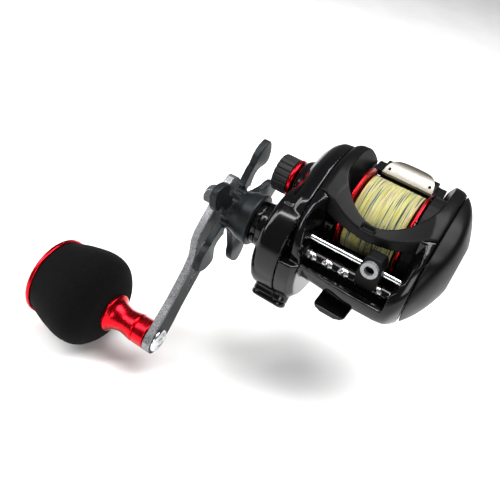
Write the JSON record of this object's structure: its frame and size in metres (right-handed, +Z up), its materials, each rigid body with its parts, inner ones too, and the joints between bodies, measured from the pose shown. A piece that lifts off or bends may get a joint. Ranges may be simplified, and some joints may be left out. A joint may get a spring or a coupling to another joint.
{
  "type": "baitcasting reel",
  "caption": "Low-profile baitcasting reel with a level wind, star drag, thumb-bar clutch and a long power handle carrying one large foam-covered knob.",
  "frame": {"origin": "on the flat underside of the reel foot, straight below the spool axis", "axes": "+X along the spool axis away from the handle, -Y forward where the line leaves, +Z up away from the rod"},
  "size_m": [0.1471, 0.1066, 0.1044],
  "materials": {
    "gloss_black": "gloss black lacquer",
    "satin_black": "satin black",
    "black_rubber": "matte black rubber",
    "eva_foam": "matte black closed-cell foam",
    "black_plastic": "matte black moulded plastic",
    "red_anodised": "red anodised, turned",
    "steel": "polished steel",
    "chrome": "bright chrome",
    "brass": "machined brass",
    "champagne": "warm grey satin nickel",
    "ceramic": "polished grey ceramic",
    "braid": "pale yellow braided line with dark strands",
    "carbon": "woven carbon friction disc",
    "bronze": "sintered bronze",
    "black_metal": "black anodised, machined edges"
  },
  "bodies": {
    "housing": {"frame": "gloss_black", "top_cover": "satin_black", "gear_side_cover": "gloss_black", "one_way_clutch": "steel", "spool_bearing_handle_side": "steel", "port_cap": "black_plastic", "port_screw": "steel", "palm_side_plate": "satin_black", "brake_housing": "black_plastic", "spool_bearing_palm_side": "steel", "brake_magnet_ring": "steel", "guide_rod": "chrome", "worm_bush_left": "bronze", "worm_bush_right": "bronze", "click_ring": "gloss_black"},
    "handle": {"drive_shaft": "steel", "drive_gear": "brass", "drag_washer": "carbon", "drag_pressure_plate": "steel", "level_wind_drive_gear": "black_plastic", "handle_arm": "black_metal", "nut_washer": "red_anodised", "handle_nut": "chrome", "drag_spring_washer": "steel", "knob_pin": "steel", "knob_screw": "steel"},
    "knob": {"knob_stem": "red_anodised", "knob_grip": "eva_foam", "knob_cap": "red_anodised"},
    "star": {"star_drag": "black_metal"},
    "spool": {"spool": "red_anodised", "line_winding": "braid", "spool_shaft": "steel", "brake_rotor": "steel"},
    "yoke": {"clutch_yoke": "steel"},
    "pinion": {"pinion_gear": "brass"},
    "thumb": {"thumb_bar": "black_plastic", "thumb_plate": "champagne"},
    "tension_cap": {"tension_knob": "black_rubber", "tension_ring": "red_anodised"},
    "brake_dial": {"brake_dial": "black_plastic"},
    "worm": {"worm_shaft": "steel", "worm_gear": "black_plastic"},
    "line_guide": {"line_guide_carriage": "black_plastic", "line_guide_ring": "ceramic"},
    "pawl": {"level_wind_pawl": "steel"}
  },
  "joints": [
    {"name": "handle_turn", "type": "hinge", "parent": "housing", "child": "handle", "pos_m": [0, -0.0154, 0.0084], "axis": [1, 0, 0], "continuous": true},
    {"name": "knob_spin", "type": "hinge", "parent": "handle", "child": "knob", "pos_m": [0, -0.05822, -0.03808], "axis": [1, 0, 0], "continuous": true},
    {"name": "star_drag_turn", "type": "hinge", "parent": "handle", "child": "star", "pos_m": [0, -0.0154, 0.0084], "axis": [1, 0, 0], "range_deg": [-180, 180]},
    {"name": "spool_spin", "type": "hinge", "parent": "housing", "child": "spool", "pos_m": [0, 0, 0.025], "axis": [1, 0, 0], "continuous": true},
    {"name": "thumb_bar_press", "type": "slide", "parent": "housing", "child": "thumb", "axis": [0, 0, -1], "range_m": [0, 0.003]},
    {"name": "clutch_yoke_shift", "type": "slide", "parent": "housing", "child": "yoke", "axis": [-1, 0, 0], "range_m": [0, 0.0015]},
    {"name": "pinion_spin", "type": "hinge", "parent": "yoke", "child": "pinion", "pos_m": [0, 0, 0.025], "axis": [1, 0, 0], "continuous": true},
    {"name": "tension_cap_turn", "type": "hinge", "parent": "housing", "child": "tension_cap", "pos_m": [0, 0, 0.025], "axis": [1, 0, 0], "range_deg": [-180, 180]},
    {"name": "brake_dial_turn", "type": "hinge", "parent": "housing", "child": "brake_dial", "pos_m": [0, 0, 0.025], "axis": [1, 0, 0], "range_deg": [0, 270]},
    {"name": "worm_spin", "type": "hinge", "parent": "housing", "child": "worm", "pos_m": [0, -0.0265, 0.0144], "axis": [1, 0, 0], "continuous": true},
    {"name": "line_guide_travel", "type": "slide", "parent": "housing", "child": "line_guide", "axis": [1, 0, 0], "range_m": [-0.0189, 0.0041]},
    {"name": "pawl_swivel", "type": "hinge", "parent": "line_guide", "child": "pawl", "pos_m": [0.0074, -0.0265, 0.01095], "axis": [0, 0, 1], "range_deg": [-28, 28]}
  ],
  "couplings": [
    {"joint": "spool_spin", "follows": "handle_turn", "ratio": -6},
    {"joint": "pinion_spin", "follows": "handle_turn", "ratio": -6},
    {"joint": "worm_spin", "follows": "handle_turn", "ratio": -0.83333},
    {"joint": "clutch_yoke_shift", "follows": "thumb_bar_press", "ratio": 0.5}
  ]
}
